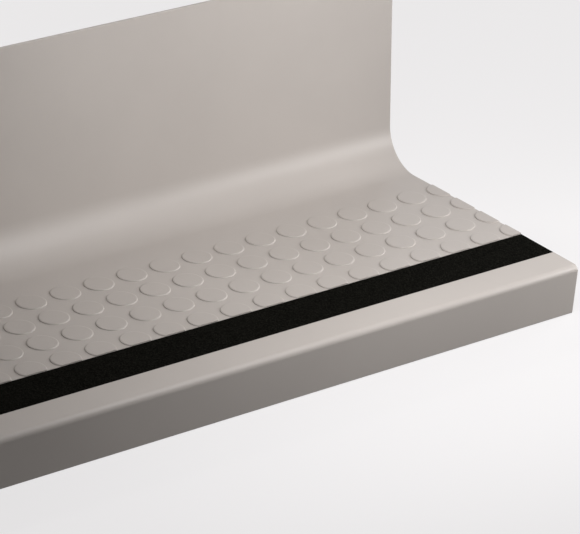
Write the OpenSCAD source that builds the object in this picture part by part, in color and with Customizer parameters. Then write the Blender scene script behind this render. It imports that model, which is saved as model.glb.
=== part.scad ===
// Rubber stair tread moulded in one piece with its riser, and the grit strip
// that is set in its nose.
//
// The section is drawn in the Y-Z plane and runs along X. The origin is the
// arris of the step that the tread covers, half way along: the underside of
// the plate lies in the plane Z = 0, and the back of the lip in the plane
// Y = 0. The foot comes from -Y, and the riser stands at +Y.

/* [Length] */
// Length of the piece, as it is sold
tread_l = 914; // [300:1:1830]

/* [Plate] */
// Run of the tread, from the back of the lip to the foot of the riser
tread_run = 236; // [200:1:340]
// Thickness of the plate from the nose to the back of the strip
nose_t = 6; // [5:0.5:10]
// Thickness of the plate at the heel, in front of the riser
heel_t = 4; // [3:0.5:5]

/* [Lip] */
// Depth of the lip below the top of the step
lip_drop = 37; // [20:0.5:60]
// Thickness of the lip at its root
lip_t = 6; // [4:0.5:10]
// Thickness of the lip at its lower edge
lip_tip_t = 4; // [3:0.5:4]
// Radius of the nose, where the plate turns down into the lip
nose_r = 5; // [2:0.5:8]
// Radius of the two lower edges of the lip
lip_edge_r = 1.2; // [0.5:0.1:1.4]

/* [Riser] */
// Height of the riser above the plate at the nose
riser_h = 176; // [120:1:200]
// Thickness of the riser at its foot
riser_t = 4; // [3:0.5:6]
// Thickness of the riser at its top edge
riser_tip_t = 2.5; // [2:0.5:3]
// Angle by which the riser leans back from the vertical
riser_lean = 4.5; // [0:0.5:8]
// Radius of the two edges along the top of the riser
riser_edge_r = 0.8; // [0.3:0.1:0.9]
// Radius of the cove between the plate and the riser
cove_r = 36; // [15:1:40]
// Radius of the heel, on the back of the cove
heel_r = 14; // [4:1:25]

/* [Grit strip] */
// Width of the recess that takes the strip
recess_w = 40; // [20:1:60]
// Depth of the recess
recess_d = 1.5; // [0.5:0.1:2.5]
// Distance from the back of the lip to the recess
recess_y = 24.5; // [15:0.5:40]
// Clearance between the strip and each side of the recess
strip_gap = 0.25; // [0.1:0.05:0.5]
// Height by which the strip stands out of the recess
strip_proud = 0.3; // [0:0.1:0.5]
// Bevel along the two top edges of the strip
strip_bevel = 0.4; // [0.1:0.1:0.5]

/* [Studs] */
// Diameter of a stud at the surface of the plate
stud_d = 25; // [12:0.5:28]
// Height of a stud
stud_h = 0.9; // [0.5:0.1:2]
// Width of the sloping shoulder round a stud
stud_shoulder = 1.4; // [0.5:0.1:3]
// Distance from stud to stud, along and across the tread
stud_pitch = 31.5; // [29:0.5:45]
// Distance from the recess to the middle of the first row
first_row = 8; // [0:0.5:20]
// Rows of studs, from the recess to the cove
stud_rows = 4; // [1:1:4]

/* [Hidden] */
rubber = [0.72, 0.69, 0.66];
grit = [0.07, 0.07, 0.065];
// Depth to which a stud's body reaches into the plate
stud_root = 0.5;
// Overshoot of a cutting shape past what it cuts
over = 1;
// An arc is drawn this much too large, because one that only touches a straight
// edge has no sure end, while one that crosses the edge ends where they meet
arc_bite = 0.002;
recess_back = recess_y + recess_w;
// The corners of the section, as [y, z], with every arris still sharp
lip_tip_back = [0, -lip_drop];
step_arris = [0, 0];
heel_back = [tread_run + riser_t - heel_t * tan(riser_lean), 0];
riser_top_z = nose_t + riser_h;
riser_top_y = tread_run + (riser_top_z - heel_t) * tan(riser_lean);
riser_top_front = [riser_top_y, riser_top_z];
riser_top_back = [riser_top_y + riser_tip_t, riser_top_z];
cove_foot = [tread_run, heel_t];
plate_break = [recess_back, nose_t];
nose_front = [-lip_t, nose_t];
lip_tip_front = [-lip_tip_t, -lip_drop];
// The plate thins from the recess to the heel at this angle
plate_fall = atan((nose_t - heel_t) / (tread_run - recess_back));
// Columns of studs on each side of the middle of the tread
side_columns = ceil((tread_l / 2 + stud_d / 2) / stud_pitch);

function unit(v) = v / norm(v);

// What lies between the corner p and an arc of radius r that touches the two
// edges from p to a and from p to b, drawn a little past both edges: cut off,
// it rounds an outer corner, and added, it fills an inner one.
module corner(p, a, b, r) {
    to_a = unit(a - p);
    to_b = unit(b - p);
    bisector = unit(to_a + to_b);
    half = acos(to_a * to_b) / 2;
    middle = p + bisector * r / sin(half);
    past_a = middle + (p + to_a * r / tan(half) - middle) * (r + over) / r;
    past_b = middle + (p + to_b * r / tan(half) - middle) * (r + over) / r;
    difference() {
        polygon([p - bisector * over / sin(half), past_a, middle, past_b]);
        translate(middle) circle(r + arc_bite, $fn = 96);
    }
}

// A section in the Y-Z plane, drawn out along X
module run(length) {
    rotate([90, 0, 90]) linear_extrude(length, center = true) children();
}

// Lip, plate and riser with their rounded arrises
module section() {
    difference() {
        union() {
            polygon([
                lip_tip_back, step_arris, heel_back, riser_top_back, riser_top_front,
                cove_foot, plate_break, nose_front, lip_tip_front
            ]);
            corner(cove_foot, plate_break, riser_top_front, cove_r);
        }
        corner(nose_front, plate_break, lip_tip_front, nose_r);
        corner(lip_tip_front, nose_front, lip_tip_back, lip_edge_r);
        corner(lip_tip_back, step_arris, lip_tip_front, lip_edge_r);
        corner(heel_back, step_arris, riser_top_back, heel_r);
        corner(riser_top_back, heel_back, riser_top_front, riser_edge_r);
        corner(riser_top_front, riser_top_back, cove_foot, riser_edge_r);
    }
}

// One low round stud, its root sunk into the plate
module stud() {
    side = stud_shoulder / stud_h;
    translate([0, 0, -stud_root])
        cylinder(stud_root + stud_h, stud_d / 2 + stud_root * side, stud_d / 2 - stud_shoulder, $fn = 64);
}

// The studs in rows and columns, square to the falling part of the plate
module stud_field() {
    translate([0, recess_back, nose_t]) rotate([-plate_fall, 0, 0])
        for (row = [0:stud_rows - 1], column = [-side_columns:side_columns - 1])
            translate([(column + 0.5) * stud_pitch, first_row + row * stud_pitch, 0]) stud();
}

// The moulding: lip, plate, studs, cove and riser are one piece of rubber. It
// is drawn over length, and the cuts to length and for the recess go through
// the studs that they meet.
module tread_riser() {
    color(rubber) difference() {
        intersection() {
            union() {
                run(tread_l + 2 * stud_d) section();
                stud_field();
            }
            run(tread_l) translate([-lip_t - over, -lip_drop - over])
                square([riser_top_back.x + lip_t + 2 * over, riser_top_z + lip_drop + 2 * over]);
        }
        run(tread_l + 2 * over) translate([recess_y, nose_t - recess_d])
            square([recess_w, recess_d + stud_h + over]);
    }
}

// The strip lies on the floor of the recess and is as long as the tread
module grit_strip() {
    width = recess_w - 2 * strip_gap;
    thick = recess_d + strip_proud;
    color(grit) translate([0, recess_y + strip_gap, nose_t - recess_d]) run(tread_l) polygon([
        [0, 0], [width, 0], [width, thick - strip_bevel], [width - strip_bevel, thick],
        [strip_bevel, thick], [0, thick - strip_bevel]
    ]);
}

tread_riser();
grit_strip();
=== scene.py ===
# %% [markdown]
# # A rubber stair tread with its riser
#
# The object is a stock length of stair covering. One moulding of warm grey
# rubber makes the drop lip, the plate with its low round studs, the cove and
# the riser. A black grit strip lies in a recess behind the nose.
#
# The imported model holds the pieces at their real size. This script loads it as
# a fixed frame, models both pieces again with soft arrises and real grain, and
# gives them their finish. All lengths are in metres.

import math

import bmesh
import bpy
from mathutils import Matrix, Vector


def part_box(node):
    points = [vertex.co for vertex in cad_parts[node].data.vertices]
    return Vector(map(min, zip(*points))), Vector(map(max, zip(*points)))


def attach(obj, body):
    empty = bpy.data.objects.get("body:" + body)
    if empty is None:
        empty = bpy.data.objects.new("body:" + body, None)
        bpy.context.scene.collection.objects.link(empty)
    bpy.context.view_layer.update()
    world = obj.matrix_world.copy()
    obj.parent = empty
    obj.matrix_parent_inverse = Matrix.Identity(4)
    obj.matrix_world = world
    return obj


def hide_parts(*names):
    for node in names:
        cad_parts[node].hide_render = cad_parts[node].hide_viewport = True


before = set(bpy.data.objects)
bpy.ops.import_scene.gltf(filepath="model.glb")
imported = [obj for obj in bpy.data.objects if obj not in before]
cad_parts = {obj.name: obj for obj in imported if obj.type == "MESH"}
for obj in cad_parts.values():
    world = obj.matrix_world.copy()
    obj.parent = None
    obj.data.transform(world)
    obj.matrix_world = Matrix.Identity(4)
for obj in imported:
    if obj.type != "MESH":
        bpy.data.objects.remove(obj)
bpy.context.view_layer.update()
moulding_low, moulding_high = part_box("tread_riser")
strip_low, strip_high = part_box("grit_strip")
print("moulding", [round(v, 4) for v in moulding_high - moulding_low])
print("strip", [round(v, 4) for v in strip_high - strip_low])

# %% [markdown]
# ## The sizes
#
# These are the sizes of the moulding, repeated from its source in metres. The
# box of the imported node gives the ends, the lowest and the highest line, so
# that the model can't drift from the frame. The rest are the section's own
# corners: where the lip, the recess, the plate's slope and the riser begin.

# %% Sizes of the moulding
MM = 0.001
right_end = strip_high.x
lip_foot = moulding_low.z
riser_top = moulding_high.z
lip_t, lip_tip_t = 6 * MM, 4 * MM
nose_t, heel_t = 6 * MM, 4 * MM
tread_run = 236 * MM
strip_gap = 0.25 * MM
recess_front, recess_back = strip_low.y - strip_gap, strip_high.y + strip_gap
recess_d = nose_t - strip_low.z
riser_t, riser_tip_t = 4 * MM, 2.5 * MM
riser_lean = math.radians(4.5)
nose_r, lip_edge_r, riser_edge_r = 5 * MM, 1.2 * MM, 0.8 * MM
cove_r, heel_r = 36 * MM, 14 * MM
stud_r, stud_h, stud_shoulder, stud_root = 12.5 * MM, 0.9 * MM, 1.4 * MM, 0.5 * MM
stud_pitch, first_row, stud_rows = 31.5 * MM, 8 * MM, 4

# %% Corners of the section, as (y, z)
step_arris = Vector((0, 0))
lip_back = Vector((0, lip_foot))
lip_front = Vector((-lip_tip_t, lip_foot))
nose = Vector((-lip_t, nose_t))
plate_break = Vector((recess_back, nose_t))
cove_foot = Vector((tread_run, heel_t))
heel = Vector((tread_run + riser_t - heel_t * math.tan(riser_lean), 0))
top_front = Vector((tread_run + (riser_top - heel_t) * math.tan(riser_lean), riser_top))
top_back = top_front + Vector((riser_tip_t, 0))
plate_fall = math.atan2(nose_t - heel_t, tread_run - recess_back)
print("plate falls", round(math.degrees(plate_fall), 2), "degrees to the heel")

# %% [markdown]
# ## Working by hand in code
#
# Every step below is one that a modeller does with the mouse: add a primitive,
# pick faces or edges, pull, bevel, cut. In a script the picking is the hard
# part, because indices change with each step. So faces and edges are picked by
# where they are and which way they face, after everything is deselected.

# %% Picking
NEAR = 1e-5
FACING = 0.9


def clear_selection():
    """Leaves object mode with nothing selected."""
    if bpy.context.object and bpy.context.object.mode != "OBJECT":
        bpy.ops.object.mode_set(mode="OBJECT")
    bpy.ops.object.select_all(action="DESELECT")


def choose(piece):
    """Makes piece the only selected and active object."""
    clear_selection()
    piece.select_set(True)
    bpy.context.view_layer.objects.active = piece


def edit(piece, kind):
    """Opens piece in edit mode to pick one kind, FACE, EDGE or VERT, with none picked."""
    choose(piece)
    bpy.ops.object.mode_set(mode="EDIT")
    bpy.ops.mesh.select_mode(type=kind)
    bpy.ops.mesh.select_all(action="DESELECT")


def traits(part):
    """A face's centre and normal, an edge's middle and direction, or a corner's place."""
    if isinstance(part, bmesh.types.BMFace):
        return part.calc_center_median(), part.normal
    if isinstance(part, bmesh.types.BMEdge):
        start, end = (corner.co for corner in part.verts)
        return (start + end) / 2, (end - start).normalized()
    return (part.co,)


def pick(piece, test):
    """Picks the faces, edges or corners whose traits pass the test, and counts them."""
    bpy.ops.mesh.select_all(action="DESELECT")
    mesh = bmesh.from_edit_mesh(piece.data)
    (kind,) = mesh.select_mode
    parts = {"FACE": mesh.faces, "EDGE": mesh.edges, "VERT": mesh.verts}[kind]
    found = [part for part in parts if test(*traits(part))]
    for part in found:
        part.select_set(True)
    bmesh.update_edit_mesh(piece.data)
    return len(found)


def settle(piece):
    """Puts the object's place, turn and size into its mesh, so that it sits at the origin."""
    choose(piece)
    bpy.ops.object.transform_apply(location=True, rotation=True, scale=True)


# %% [markdown]
# ## The moulding, as a block that is cut and pulled
#
# The real piece is pressed in a long mould, so its section is the same all
# along. It could be drawn as an outline and extruded, but a block shows better
# how the form comes about: the plate is a flat block, its front is pulled down
# into the lip, its back is pulled up into the riser, and then the thin ends are
# pushed to their taper and lean. It is made a little too long, and cut to
# length at the end, through the studs as a saw would.

# %% The plate, and the cuts across it
def block(name, low, high):
    """A box between two corners."""
    clear_selection()
    middle = [(h + l) / 2 for l, h in zip(low, high)]
    bpy.ops.mesh.primitive_cube_add(size=1, location=middle)
    piece = bpy.context.object
    piece.name = piece.data.name = name
    piece.scale = [h - l for l, h in zip(low, high)]
    settle(piece)
    return piece


spare = 2 * stud_r
uncut_end = right_end + spare
moulding = block("tread_moulding", (-uncut_end, nose.x, 0), (uncut_end, heel.x, nose_t))
edit(moulding, "FACE")
for cut in (step_arris.x, plate_break.x, tread_run):
    bpy.ops.mesh.select_all(action="SELECT")
    bpy.ops.mesh.bisect(plane_co=(0, cut, 0), plane_no=(0, 1, 0))
print("plate with", len(bmesh.from_edit_mesh(moulding.data).faces), "faces")

# %% The lip is pulled down and the riser pulled up
lips = pick(moulding, lambda centre, normal: normal.z < -FACING and centre.y < step_arris.x)
bpy.ops.mesh.extrude_region_move(TRANSFORM_OT_translate={"value": (0, 0, lip_foot)})
risers = pick(moulding, lambda centre, normal: normal.z > FACING and centre.y > tread_run)
bpy.ops.mesh.extrude_region_move(TRANSFORM_OT_translate={"value": (0, 0, riser_top - nose_t)})
print("pulled", lips, "face down and", risers, "face up")


# %% The taper and the lean
def shift_line(piece, start, end):
    """Moves the vertices that lie on one line of the section, from (y, z) to (y, z)."""
    found = pick(piece, lambda co: abs(co.y - start[0]) < NEAR and abs(co.z - start[1]) < NEAR)
    bpy.ops.transform.translate(value=(0, end[0] - start[0], end[1] - start[1]))
    return found


bpy.ops.mesh.select_mode(type="VERT")
back_slant = (top_back.x - heel.x) / riser_top
lip_draft = (lip_front.x - nose.x) / (nose.y - lip_front.y)
moved = shift_line(moulding, (nose.x, lip_foot), lip_front)
moved += shift_line(moulding, (tread_run, riser_top), top_front)
moved += shift_line(moulding, (heel.x, riser_top), top_back)
moved += shift_line(moulding, (tread_run, nose_t), cove_foot)
moved += shift_line(moulding, (heel.x, nose_t), (heel.x + back_slant * nose_t, nose_t))
moved += shift_line(moulding, (nose.x, 0), (nose.x + lip_draft * nose_t, 0))
print("moved", moved, "corners of the section")

# %% [markdown]
# ## One face to each flat side
#
# The cuts have left seams across sides that are flat, and a wide bevel would run
# past them and fold over. Limited dissolve takes out every edge between two
# faces in one plane, so that each side of the section is one long face again.
# The line where the plate begins to fall stays, since its angle is larger.

# %% Seams out
SAME_PLANE = math.radians(0.05)


def open_edges(piece):
    """How many edges don't have exactly two faces, which a closed skin has none of."""
    if piece.mode == "EDIT":
        edges = bmesh.from_edit_mesh(piece.data).edges
        return sum(1 for edge in edges if len(edge.link_faces) != 2)
    mesh = bmesh.new()
    mesh.from_mesh(piece.data)
    count = sum(1 for edge in mesh.edges if len(edge.link_faces) != 2)
    mesh.free()
    return count


bpy.ops.mesh.select_mode(type="FACE")
bpy.ops.mesh.select_all(action="SELECT")
bpy.ops.mesh.dissolve_limited(angle_limit=SAME_PLANE)
sides = len(bmesh.from_edit_mesh(moulding.data).faces)
print(sides, "flat sides,", open_edges(moulding), "open edges")

# %% [markdown]
# ## Round arrises
#
# No edge of a moulded rubber piece is sharp. The bevel tool makes a true arc
# when its width is the distance from the corner to the point where the arc
# touches the face. That distance depends on the angle of the corner, so it is
# worked out from the section. The wide arc of the cove gets many segments,
# because it catches the light all along the piece.

# %% Bevels along the section
COVE_STEPS, HEEL_STEPS, NOSE_STEPS, EDGE_STEPS = 28, 14, 10, 4


def arc_reach(corner, a, b, radius):
    """Distance from a corner to where an arc touches the sides that go to a and to b."""
    return radius / math.tan((a - corner).angle(b - corner) / 2)


def round_corner(piece, corner, a, b, radius, segments):
    """Rounds the edge that runs along the piece through one corner of the section."""
    found = pick(
        piece,
        lambda middle, way: abs(way.x) > FACING
        and abs(middle.y - corner.x) < NEAR
        and abs(middle.z - corner.y) < NEAR,
    )
    bpy.ops.mesh.bevel(
        offset_type="OFFSET",
        offset=arc_reach(corner, a, b, radius),
        segments=segments,
        profile=0.5,
        clamp_overlap=False,
    )
    return found


bpy.ops.mesh.select_mode(type="EDGE")
rounded = round_corner(moulding, cove_foot, plate_break, top_front, cove_r, COVE_STEPS)
rounded += round_corner(moulding, heel, step_arris, top_back, heel_r, HEEL_STEPS)
rounded += round_corner(moulding, nose, plate_break, lip_front, nose_r, NOSE_STEPS)
rounded += round_corner(moulding, lip_front, nose, lip_back, lip_edge_r, EDGE_STEPS)
rounded += round_corner(moulding, lip_back, step_arris, lip_front, lip_edge_r, EDGE_STEPS)
rounded += round_corner(moulding, top_front, top_back, cove_foot, riser_edge_r, EDGE_STEPS)
rounded += round_corner(moulding, top_back, heel, top_front, riser_edge_r, EDGE_STEPS)
bpy.ops.object.mode_set(mode="OBJECT")
print("rounded", rounded, "edges,", open_edges(moulding), "open edges")

# %% [markdown]
# ## A cell of the plate for each stud
#
# A boolean works best on small faces. So the long face that carries the studs is
# first cut into a grid, with the lines half way between the studs, and each cell
# will take one of them. Only that face is picked, so the rest of the section
# keeps its long strips.

# %% The grid of cells
SAME_WAY = math.radians(0.3)
columns = math.ceil((right_end + stud_r) / stud_pitch)
plate_up = Vector((0, math.sin(plate_fall), math.cos(plate_fall)))


def pick_plate():
    """Picks the falling face of the plate, in all its cells."""
    return pick(moulding, lambda centre, normal: normal.angle(plate_up) < SAME_WAY)


def along_plate(distance):
    """The point (y, z) of the falling plate that lies this far behind the recess."""
    return (
        recess_back + distance * math.cos(plate_fall),
        nose_t - distance * math.sin(plate_fall),
    )


edit(moulding, "FACE")
for column in range(-columns, columns + 1):
    pick_plate()
    bpy.ops.mesh.bisect(plane_co=(column * stud_pitch, 0, 0), plane_no=(1, 0, 0))
for row in range(stud_rows - 1):
    pick_plate()
    line = along_plate(first_row + (row + 0.5) * stud_pitch)
    bpy.ops.mesh.bisect(plane_co=(0, *line), plane_no=(0, 1, 0))
print(pick_plate(), "cells on the plate")
bpy.ops.object.mode_set(mode="OBJECT")

# %% [markdown]
# ## One stud, modelled once
#
# A stud is a low disc with a soft shoulder. It starts as a short cylinder that
# is rooted in the plate. Its top is pulled up in small steps and drawn in with
# each: a small toe, a steep side, and then a shoulder that follows a quarter of
# an ellipse up to the flat top. The steep side makes the thin dark arc on the
# side away from the light, and the soft shoulder the bright one that faces it.

# %% The stud's outline, as (height, radius)
SHOULDER_STEPS = 5
toe, toe_h = 0.2 * MM, 0.05 * MM
side, side_h = 0.12 * MM, 0.4 * MM
outline = [(toe_h, stud_r - toe), (side_h, stud_r - toe - side)]
for step in range(1, SHOULDER_STEPS + 1):
    turn = math.radians(90) * step / SHOULDER_STEPS
    height = side_h + (stud_h - side_h) * math.sin(turn)
    outline.append((height, stud_r - toe - side - stud_shoulder * (1 - math.cos(turn))))
print("stud rises", round(outline[-1][0] / MM, 2), "mm to a top of", round(outline[-1][1] / MM, 2))

# %% The stud
STUD_SIDES = 48
clear_selection()
bpy.ops.mesh.primitive_cylinder_add(
    vertices=STUD_SIDES, radius=stud_r, depth=stud_root, location=(0, 0, -stud_root / 2)
)
stud = bpy.context.object
stud.name = "stud"
settle(stud)
edit(stud, "FACE")
pick(stud, lambda centre, normal: normal.z > FACING)
height, radius = 0.0, stud_r
for next_height, next_radius in outline:
    bpy.ops.mesh.extrude_region_move(
        TRANSFORM_OT_translate={"value": (0, 0, next_height - height)}
    )
    bpy.ops.transform.resize(value=(next_radius / radius, next_radius / radius, 1))
    height, radius = next_height, next_radius
bpy.ops.object.mode_set(mode="OBJECT")
print("stud with", len(stud.data.polygons), "faces")

# %% [markdown]
# ## The field of studs
#
# The studs stand in a square grid, in rows from the recess to the cove and in
# columns that are laid out evenly from the middle of the length. Each copy has
# a mesh of its own, turned to stand square to the falling plate. The copies are
# joined into one object, because one boolean is quicker than a hundred.

# %% Copies in rows and columns
copies = []
for row in range(stud_rows):
    for column in range(-columns, columns):
        copy = stud.copy()
        copy.data = stud.data.copy()
        bpy.context.collection.objects.link(copy)
        copy.location = ((column + 0.5) * stud_pitch, *along_plate(first_row + row * stud_pitch))
        copy.rotation_euler = (-plate_fall, 0, 0)
        copies.append(copy)
bpy.data.objects.remove(stud)
clear_selection()
for copy in copies:
    copy.select_set(True)
bpy.context.view_layer.objects.active = copies[0]
bpy.ops.object.join()
studs = bpy.context.object
settle(studs)
print(len(copies), "studs joined,", len(studs.data.polygons), "faces")

# %% [markdown]
# ## Studs on, recess out, ends cut
#
# On the real tread the recess and the ends go straight through the studs, so the
# studs come first. A union joins them to the plate in one closed skin, and a
# difference takes out the recess. The manifold solver is the quick and clean one
# for closed meshes. A bisect that fills its cut then makes each end.

# %% Two booleans
def finish_modifier(piece, kind, **settings):
    """Adds a modifier, sets it and applies it."""
    choose(piece)
    modifier = piece.modifiers.new(kind.title(), kind)
    for key, value in settings.items():
        setattr(modifier, key, value)
    bpy.ops.object.modifier_apply(modifier=modifier.name)


finish_modifier(moulding, "BOOLEAN", operation="UNION", object=studs, solver="MANIFOLD")
bpy.data.objects.remove(studs)
print("with studs", len(moulding.data.polygons), "faces,", open_edges(moulding), "open edges")
cutter_end = uncut_end + spare
cutter_top = nose_t + 3 * stud_h
cutter = block(
    "recess_cutter",
    (-cutter_end, recess_front, nose_t - recess_d),
    (cutter_end, recess_back, cutter_top),
)
finish_modifier(moulding, "BOOLEAN", operation="DIFFERENCE", object=cutter, solver="MANIFOLD")
bpy.data.objects.remove(cutter)
print("with recess", len(moulding.data.polygons), "faces,", open_edges(moulding), "open edges")

# %% The ends
WELD = 1e-6
edit(moulding, "FACE")
for end in (-1, 1):
    bpy.ops.mesh.select_all(action="SELECT")
    bpy.ops.mesh.bisect(
        plane_co=(end * right_end, 0, 0), plane_no=(end, 0, 0), use_fill=True, clear_outer=True
    )
bpy.ops.mesh.select_all(action="SELECT")
bpy.ops.mesh.remove_doubles(threshold=WELD)
bpy.ops.mesh.normals_make_consistent(inside=False)
bpy.ops.object.mode_set(mode="OBJECT")
print("moulding", len(moulding.data.polygons), "faces,", open_edges(moulding), "open edges")

# %% [markdown]
# ## Round arcs beside flat sides
#
# Smooth shading by angle makes the short steps of an arc look like one curve,
# but it also bends the light at the rim of each wide flat side beside them. The
# weighted normal modifier lets the larger face decide how the light falls where
# two meet, so the sides stay flat and only the arcs are round.

# %% Shading, and the frame's own facts about the moulding
def shade(piece, degrees):
    """Smooth shading below an angle, with normals weighted so that wide flats stay flat."""
    choose(piece)
    bpy.ops.object.shade_smooth_by_angle(angle=math.radians(degrees))
    finish_modifier(piece, "WEIGHTED_NORMAL", mode="FACE_AREA", keep_sharp=True)


shade(moulding, degrees=40)
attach(moulding, "root")
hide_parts("tread_riser")
print(moulding.name, "stands for the packed tread_riser")

# %% [markdown]
# ## The grit strip
#
# The strip is a bar of resin with mineral grains pressed into its top, a little
# proud of the rubber. Its grains, about a millimetre wide, catch the light one
# by one, so they are real relief here, and not only a bump in the material. A
# fine grid is the top of the bar, and its rim is pulled down to make the sides.

# %% A fine grid, pulled down into a bar
GRAIN = 0.9 * MM
RELIEF = 0.4 * MM
strip_size = strip_high - strip_low
strip_x, strip_y = (strip_low.x + strip_high.x) / 2, (strip_low.y + strip_high.y) / 2
clear_selection()
bpy.ops.mesh.primitive_grid_add(
    x_subdivisions=round(strip_size.x / GRAIN),
    y_subdivisions=round(strip_size.y / GRAIN),
    size=1,
    location=(strip_x, strip_y, strip_high.z - RELIEF),
)
strip = bpy.context.object
strip.name = strip.data.name = "grit_inlay"
strip.scale = (strip_size.x, strip_size.y, 1)
settle(strip)
edit(strip, "EDGE")
bpy.ops.mesh.select_all(action="SELECT")
bpy.ops.mesh.region_to_loop()
bpy.ops.mesh.extrude_region_move(
    TRANSFORM_OT_translate={"value": (0, 0, strip_low.z - strip_high.z + RELIEF)}
)
bpy.ops.mesh.edge_face_add()
bpy.ops.mesh.select_all(action="SELECT")
bpy.ops.mesh.normals_make_consistent(inside=False)
bpy.ops.object.mode_set(mode="OBJECT")
print("strip with", len(strip.data.polygons), "faces,", open_edges(strip), "open edges")

# %% [markdown]
# ## The grains
#
# A cloud texture pushes the points of the grid up and down. A vertex group holds
# the points that may move, so that the rim of the strip stays straight. The grid
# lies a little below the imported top, so that even the highest grain ends under
# it, and the strip keeps its size.

# %% Clouds for grains
GRAIN_NOISE = 1.1 * MM
GRAIN_DETAIL = 2
GRAIN_CONTRAST = 1.6
GRAIN_SWING = 1.5 * RELIEF
margin = GRAIN / 2
inside = [
    point.index
    for point in strip.data.vertices
    if abs(point.co.x) < strip_high.x - margin
    and strip_low.y + margin < point.co.y < strip_high.y - margin
]
strip.vertex_groups.new(name="grains").add(inside, 1.0, "REPLACE")
clouds = bpy.data.textures.new("grains", "CLOUDS")
clouds.noise_scale = GRAIN_NOISE
clouds.noise_depth = GRAIN_DETAIL
clouds.contrast = GRAIN_CONTRAST
finish_modifier(
    strip,
    "DISPLACE",
    texture=clouds,
    texture_coords="LOCAL",
    direction="Z",
    strength=GRAIN_SWING,
    mid_level=0.5,
    vertex_group="grains",
)
bpy.data.textures.remove(clouds)
reach = max(point.co.z for point in strip.data.vertices) - strip_high.z
print(len(inside), "points in the grain, which reaches", round(reach / MM, 3), "mm past the strip")

# %% Shading, and the frame's own facts about the strip
shade(strip, degrees=60)
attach(strip, "root")
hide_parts("grit_strip")
print(strip.name, "stands for the packed grit_strip")

# %% [markdown]
# ## Shared effects for the finishes
#
# Both materials need grain: a fine one for the rubber, a coarse one for the
# grit. One node group gives both, with its two scales as named inputs. It reads
# Object coordinates, which are the same as the model's own metres here, so that
# a scale of 1000 means one cell to the millimetre. The group puts out only
# values. What each material makes of them, a tone, a gloss or a relief, is added
# in the material by a few small steps.

# %% Node group: grain
def noise(tree, place, scale, detail, roughness):
    """A noise texture, with its place and its scale each from a socket."""
    node = tree.nodes.new("ShaderNodeTexNoise")
    tree.links.new(place, node.inputs["Vector"])
    tree.links.new(scale, node.inputs["Scale"])
    node.inputs["Detail"].default_value = detail
    node.inputs["Roughness"].default_value = roughness
    return node.outputs["Fac"]


def make_grain_group():
    """Height of a pebbled surface, and a slow drift for colour and gloss."""
    group = bpy.data.node_groups.new("grain", "ShaderNodeTree")
    new_socket = group.interface.new_socket
    for name, usual in (("Scale", 1000.0), ("Drift scale", 8.0)):
        socket = new_socket(name=name, in_out="INPUT", socket_type="NodeSocketFloat")
        socket.default_value = usual
    for name in ("Height", "Drift"):
        new_socket(name=name, in_out="OUTPUT", socket_type="NodeSocketFloat")
    ins = group.nodes.new("NodeGroupInput")
    outs = group.nodes.new("NodeGroupOutput")
    where = group.nodes.new("ShaderNodeTexCoord").outputs["Object"]
    fine = noise(group, where, ins.outputs["Scale"], detail=3.0, roughness=0.6)
    drift = noise(group, where, ins.outputs["Drift scale"], detail=4.0, roughness=0.55)
    group.links.new(fine, outs.inputs["Height"])
    group.links.new(drift, outs.inputs["Drift"])
    return group


grain_group = make_grain_group()
print("group", grain_group.name, [s.name for s in grain_group.interface.items_tree])


# %% A new material, its grain and its tone
def new_material(name):
    """A node material with its node tree and its Principled shader."""
    material = bpy.data.materials.new(name)
    material.use_nodes = True
    tree = material.node_tree
    return material, tree, tree.nodes["Principled BSDF"]


def add_grain(tree, scale, drift_scale):
    """Places the grain group in a material, with that material's own scales."""
    node = tree.nodes.new("ShaderNodeGroup")
    node.node_tree = grain_group
    node.inputs["Scale"].default_value = scale
    node.inputs["Drift scale"].default_value = drift_scale
    return node.outputs["Height"], node.outputs["Drift"]


def ramp(tree, value, first, last):
    """A colour ramp from a value, between two stops of (position, linear colour)."""
    node = tree.nodes.new("ShaderNodeValToRGB")
    tree.links.new(value, node.inputs["Fac"])
    for element, (position, colour) in zip(node.color_ramp.elements, (first, last)):
        element.position = position
        element.color = (*colour, 1)
    return node.outputs["Color"]


# %% Sums, relief, and a material put on
def feed(tree, value, socket):
    """Gives a socket its value, which is a number or another socket."""
    if isinstance(value, (int, float)):
        socket.default_value = value
    else:
        tree.links.new(value, socket)


def math_node(tree, operation, a, b):
    """A maths node of two values, each a number or a socket."""
    node = tree.nodes.new("ShaderNodeMath")
    node.operation = operation
    feed(tree, a, node.inputs[0])
    feed(tree, b, node.inputs[1])
    return node.outputs[0]


def scaled(tree, value, low, high):
    """Maps a value from 0..1 to low..high."""
    return math_node(tree, "ADD", math_node(tree, "MULTIPLY", value, high - low), low)


def bump(tree, shader, height, strength, distance):
    """Raises the surface by a height, for its normal only."""
    node = tree.nodes.new("ShaderNodeBump")
    node.inputs["Strength"].default_value = strength
    node.inputs["Distance"].default_value = distance
    tree.links.new(height, node.inputs["Height"])
    tree.links.new(node.outputs["Normal"], shader.inputs["Normal"])


def finish_with(material, piece, node):
    """Puts a material on a piece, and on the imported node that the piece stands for."""
    for thing in (piece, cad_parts[node]):
        thing.data.materials.clear()
        thing.data.materials.append(material)
    print(material.name, "on", piece.name)


# %% [markdown]
# ## The rubber
#
# The rubber is one warm grey all through. It isn't quite even: the colour
# drifts a little over hands' breadths, the pressed skin has a very fine pebble,
# and the skin's gloss drifts too, which breaks up the soft highlight on the
# nose and on the cove. A plain colour would look like card.

# %% Material: rubber
RUBBER_DARK = (0.472, 0.435, 0.409)
RUBBER_LIGHT = (0.508, 0.469, 0.441)
RUBBER_ROUGHNESS = (0.36, 0.46)
RUBBER_DRIFT_SCALE = 6.0
PEBBLE_SCALE, PEBBLE_STRENGTH, PEBBLE_HEIGHT = 1400.0, 0.25, 0.12 * MM


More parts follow.
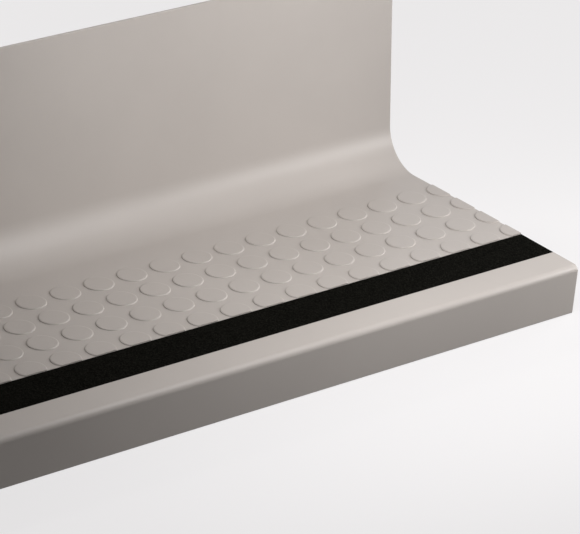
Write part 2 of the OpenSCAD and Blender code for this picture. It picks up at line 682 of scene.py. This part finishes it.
def make_rubber():
    """Warm grey rubber with a satin skin."""
    material, tree, shader = new_material("tread_rubber")
    pebble, drift = add_grain(tree, PEBBLE_SCALE, RUBBER_DRIFT_SCALE)
    tone = ramp(tree, drift, (0.3, RUBBER_DARK), (0.7, RUBBER_LIGHT))
    tree.links.new(tone, shader.inputs["Base Color"])
    tree.links.new(scaled(tree, drift, *RUBBER_ROUGHNESS), shader.inputs["Roughness"])
    bump(tree, shader, pebble, PEBBLE_STRENGTH, PEBBLE_HEIGHT)
    return material


finish_with(make_rubber(), moulding, "tread_riser")

# %% [markdown]
# ## The grit
#
# The strip looks black, but its grains are bits of crushed mineral. Most are
# dull, and a few have a face that glints, so the roughness follows the grain
# much more strongly than on the rubber.

# %% Material: grit
GRIT_DARK = (0.0015, 0.0015, 0.0011)
GRIT_LIGHT = (0.014, 0.0136, 0.0108)
GRIT_ROUGHNESS = (0.95, 0.55)
GRIT_SPECULAR = 0.008
GRIT_DRIFT_SCALE = 25.0
GRIT_SCALE, GRIT_STRENGTH, GRIT_HEIGHT = 1100.0, 0.8, 0.4 * MM


def make_grit():
    """Near black mineral grit, dull with a few brighter grains."""
    material, tree, shader = new_material("grit_inlay")
    grit = add_grain(tree, GRIT_SCALE, GRIT_DRIFT_SCALE)[0]
    tone = ramp(tree, grit, (0.45, GRIT_DARK), (0.72, GRIT_LIGHT))
    tree.links.new(tone, shader.inputs["Base Color"])
    tree.links.new(scaled(tree, grit, *GRIT_ROUGHNESS), shader.inputs["Roughness"])
    shader.inputs["Specular IOR Level"].default_value = GRIT_SPECULAR
    bump(tree, shader, grit, GRIT_STRENGTH, GRIT_HEIGHT)
    return material


finish_with(make_grit(), strip, "grit_strip")

# %% [markdown]
# ## The floor
#
# A wide pale floor lies under the piece. The camera, and the rubber's gloss, see
# it nearly white: most of what such a ray gets is an even glow, and the rest is
# real diffuse light that keeps the shadow. Diffuse bounces meet a dark grey, so
# that the floor doesn't fill the shaded face of the lip with light.

# %% Floor
FLOOR_SIZE = 30.0
clear_selection()
bpy.ops.mesh.primitive_plane_add(size=FLOOR_SIZE, location=(0, 0, lip_foot))
floor = bpy.context.object
floor.name = "floor"
settle(floor)
print("floor at", round(lip_foot, 4))

# %% The floor's material
FLOOR_TONE = (0.91, 0.897, 0.903)
FLOOR_BOUNCE = (0.12, 0.118, 0.116)
FLOOR_GLOW = 0.75


def seen_directly(tree):
    """1 where the camera or a gloss looks at this surface, 0 where only light meets it."""
    path = tree.nodes.new("ShaderNodeLightPath")
    return math_node(tree, "MAXIMUM", path.outputs["Is Camera Ray"], path.outputs["Is Glossy Ray"])


def plain(tree, kind, colour):
    """A shader or background node of one colour."""
    node = tree.nodes.new(kind)
    node.inputs["Color"].default_value = (*colour, 1)
    return node


def mixed(tree, share, first, second):
    """A mix of two shader nodes, from all of the first at share 0 to all of the second at 1."""
    node = tree.nodes.new("ShaderNodeMixShader")
    feed(tree, share, node.inputs["Fac"])
    tree.links.new(first.outputs[0], node.inputs[1])
    tree.links.new(second.outputs[0], node.inputs[2])
    return node


def make_floor_material():
    """Pale for the camera and in reflections, dark for bounced light."""
    material = bpy.data.materials.new("pale_floor")
    material.use_nodes = True
    tree = material.node_tree
    tree.nodes.clear()
    glow = plain(tree, "ShaderNodeEmission", FLOOR_TONE)
    pale = plain(tree, "ShaderNodeBsdfDiffuse", FLOOR_TONE)
    dark = plain(tree, "ShaderNodeBsdfDiffuse", FLOOR_BOUNCE)
    surface = mixed(tree, seen_directly(tree), dark, mixed(tree, FLOOR_GLOW, pale, glow))
    out = tree.nodes.new("ShaderNodeOutputMaterial")
    tree.links.new(surface.outputs[0], out.inputs["Surface"])
    return material


floor.data.materials.append(make_floor_material())
print(floor.data.materials[0].name, "on", floor.name)

# %% [markdown]
# ## The room
#
# The room is a world of one colour. As light it is dim, because the lamps should
# draw the studs. The camera, and the gloss of the rubber, see it as pale as the
# floor, so that a bright background costs no contrast on the piece.

# %% World
ROOM_TONE = (1.0, 0.985, 0.97)
ROOM_LIGHT = 0.14


def make_room():
    """A dim world that looks pale."""
    world = bpy.data.worlds.new("pale_room")
    world.use_nodes = True
    tree = world.node_tree
    tree.nodes.clear()
    light = plain(tree, "ShaderNodeBackground", ROOM_TONE)
    light.inputs["Strength"].default_value = ROOM_LIGHT
    backdrop = plain(tree, "ShaderNodeBackground", FLOOR_TONE)
    surface = mixed(tree, seen_directly(tree), light, backdrop)
    out = tree.nodes.new("ShaderNodeOutputWorld")
    tree.links.new(surface.outputs[0], out.inputs["Surface"])
    return world


scene = bpy.context.scene
scene.view_settings.view_transform = "Standard"
scene.world = make_room()
print("world", scene.world.name)

# %% [markdown]
# ## The lamps
#
# The light is that of a small studio. A soft lamp hangs close over the plate and
# gives the riser and the top most of their light, while the face of the lip,
# almost edge-on to it, stays dark. A lamp beyond the right end comes in low
# along the plate: it draws the dark arc on the left of each stud and the bright
# one on its right. A small lamp close to the front corner lights the lip's right
# end. One more lights the left end with a narrow beam, and one behind the riser
# serves the side that this camera doesn't see.

# %% Lamps
LAMP_WHITE = (1.0, 0.99, 0.98)
OPEN_BEAM, NARROW_BEAM = 180, 60
MIDDLE, LIP, RISER = (0.2, 0.1, 0.0), (0.3, 0.0, 0.0), (0.3, 0.24, 0.1)
LEFT_END = (-0.45, 0.2, 0.08)


def soft_lamp(name, place, aim, size, power, beam=OPEN_BEAM):
    """A square lamp at place that faces aim, with its beam in degrees."""
    data = bpy.data.lights.new(name, "AREA")
    data.size = size
    data.energy = power
    data.color = LAMP_WHITE
    data.spread = math.radians(beam)
    lamp = bpy.data.objects.new(name, data)
    bpy.context.collection.objects.link(lamp)
    lamp.location = place
    lamp.rotation_euler = (Vector(aim) - Vector(place)).to_track_quat("-Z", "Y").to_euler()
    lamp.visible_camera = False
    print("lamp", name, power, "W")


soft_lamp("over_plate", (0.28, -0.1, 0.35), RISER, size=0.35, power=1.33)
soft_lamp("front_right", (0.75, -0.2, 0.2), LIP, size=0.2, power=1.35)
soft_lamp("right", (1.5, 0.3, 0.6), MIDDLE, size=0.4, power=3.9)
soft_lamp("behind", (-0.5, 1.8, 1.0), MIDDLE, size=0.9, power=18.0)
soft_lamp("left_end", (-0.45, -0.3, 0.4), LEFT_END, size=0.3, power=0.45, beam=NARROW_BEAM)

# %% [markdown]
# ## The camera
#
# The photograph is taken with a long lens from the front left, looking down on
# the right end. The camera's place is given as a point on the tread that it
# looks at, with its direction and distance from there. That says more to a
# reader than three coordinates and three angles.

# %% Camera
CAMERA_AIM = Vector((0.1916, 0.0319, 0.0554))
CAMERA_TURN, CAMERA_RISE, CAMERA_ROLL = 38.775, 25.587, 3.407
CAMERA_DISTANCE = 2.6156
CAMERA_FAR = 100.0
LENS, SENSOR_WIDTH = 213.90, 36.0


def camera_at(aim, turn, rise, roll, distance):
    """A camera that looks at aim; turn is from +Y towards +X, all angles in degrees."""
    turn, rise = math.radians(turn), math.radians(rise)
    forward = Vector(
        (math.sin(turn) * math.cos(rise), math.cos(turn) * math.cos(rise), -math.sin(rise))
    )
    data = bpy.data.cameras.new("camera")
    data.sensor_width = SENSOR_WIDTH
    data.lens = LENS
    data.clip_end = CAMERA_FAR
    camera = bpy.data.objects.new("camera", data)
    bpy.context.collection.objects.link(camera)
    facing = forward.to_track_quat("-Z", "Y").to_matrix()
    twist = Matrix.Rotation(math.radians(roll), 3, "Z")
    camera.matrix_world = Matrix.Translation(aim - forward * distance) @ (facing @ twist).to_4x4()
    return camera


scene.camera = camera_at(CAMERA_AIM, CAMERA_TURN, CAMERA_RISE, CAMERA_ROLL, CAMERA_DISTANCE)
print("camera at", [round(v, 3) for v in scene.camera.matrix_world.translation])
